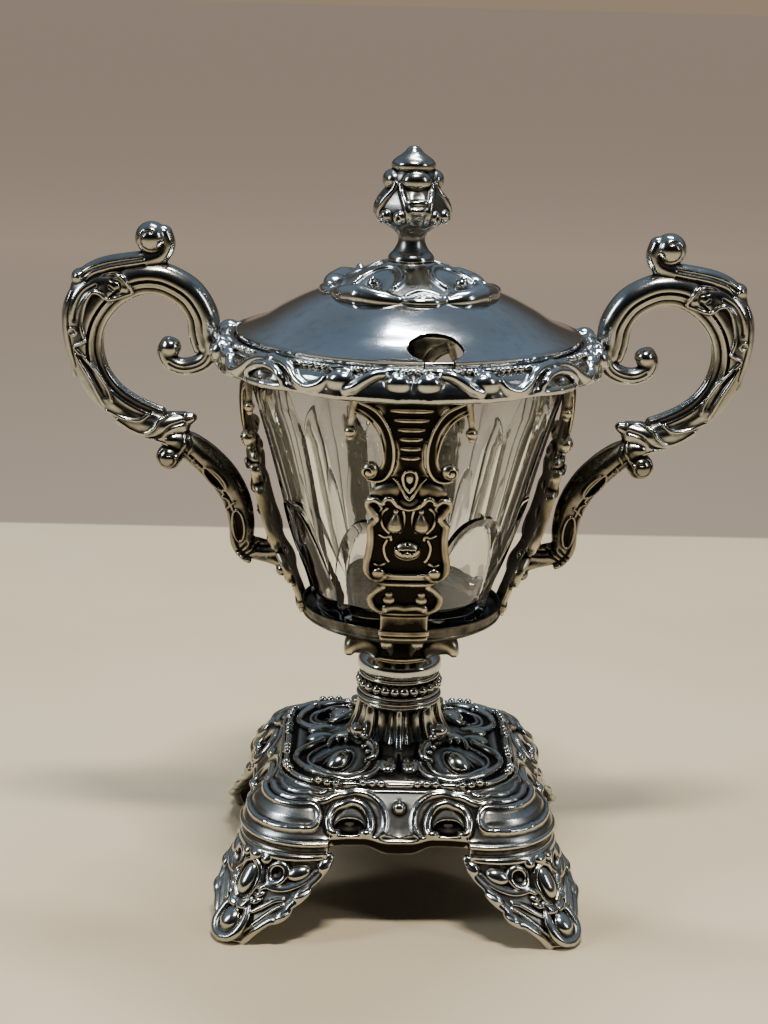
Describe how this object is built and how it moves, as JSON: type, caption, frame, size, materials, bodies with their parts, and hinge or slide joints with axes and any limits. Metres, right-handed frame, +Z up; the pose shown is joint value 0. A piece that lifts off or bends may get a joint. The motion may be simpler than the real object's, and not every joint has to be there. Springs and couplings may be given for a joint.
{
  "type": "covered jam vase",
  "caption": "Two-handled covered vase: cut-glass liner in a scrolled silver cage on a footed plinth, with a lid that has a spoon opening and a bud finial.",
  "frame": {"origin": "centre of the vase's footprint, on the plane that the four feet stand on", "axes": "+Z up along the vase's axis, +X towards the right handle, -Y towards the front strap that the spoon opening is near"},
  "size_m": [0.2018, 0.1156, 0.2265],
  "materials": {
    "polished_silver": "polished silver with fine scratches and dark tarnish in the recesses",
    "oxidised_silver": "cast silver, polished on the high relief and oxidised nearly black in the ground",
    "cut_glass": "clear cut crystal, polished flutes",
    "fastener_steel": "plain steel, slightly dull"
  },
  "bodies": {
    "root": {"plinth": "polished_silver", "foot_front_left": "polished_silver", "foot_front_right": "polished_silver", "foot_back_left": "polished_silver", "foot_back_right": "polished_silver", "stem_trumpet": "oxidised_silver", "bead_collar": "polished_silver", "stem_ring": "polished_silver", "calyx": "oxidised_silver", "cage_dish": "polished_silver", "tie_rod": "fastener_steel", "tie_washer": "fastener_steel", "tie_nut": "fastener_steel", "strap_front": "oxidised_silver", "strap_right": "oxidised_silver", "strap_back": "oxidised_silver", "strap_left": "oxidised_silver", "rim_border": "polished_silver", "handle_left_loop": "polished_silver", "handle_left_scroll": "polished_silver", "handle_right_loop": "polished_silver", "handle_right_scroll": "polished_silver"},
    "liner": {"glass_liner": "cut_glass"},
    "collar": {"collar_ring": "polished_silver"},
    "lid": {"lid_dome": "polished_silver", "lid_skirt": "polished_silver", "lid_boss": "polished_silver", "finial": "oxidised_silver", "finial_stud": "fastener_steel", "finial_washer": "fastener_steel", "finial_nut": "fastener_steel"}
  },
  "joints": [
    {"name": "liner_lift", "type": "slide", "parent": "root", "child": "liner", "axis": [0, 0, 1], "range_m": [0, 0.09]},
    {"name": "lid_turn", "type": "hinge", "parent": "liner", "child": "collar", "pos_m": [0, 0, 0.168], "axis": [0, 0, 1], "continuous": true},
    {"name": "lid_lift", "type": "slide", "parent": "collar", "child": "lid", "axis": [0, 0, 1], "range_m": [0, 0.06]}
  ]
}
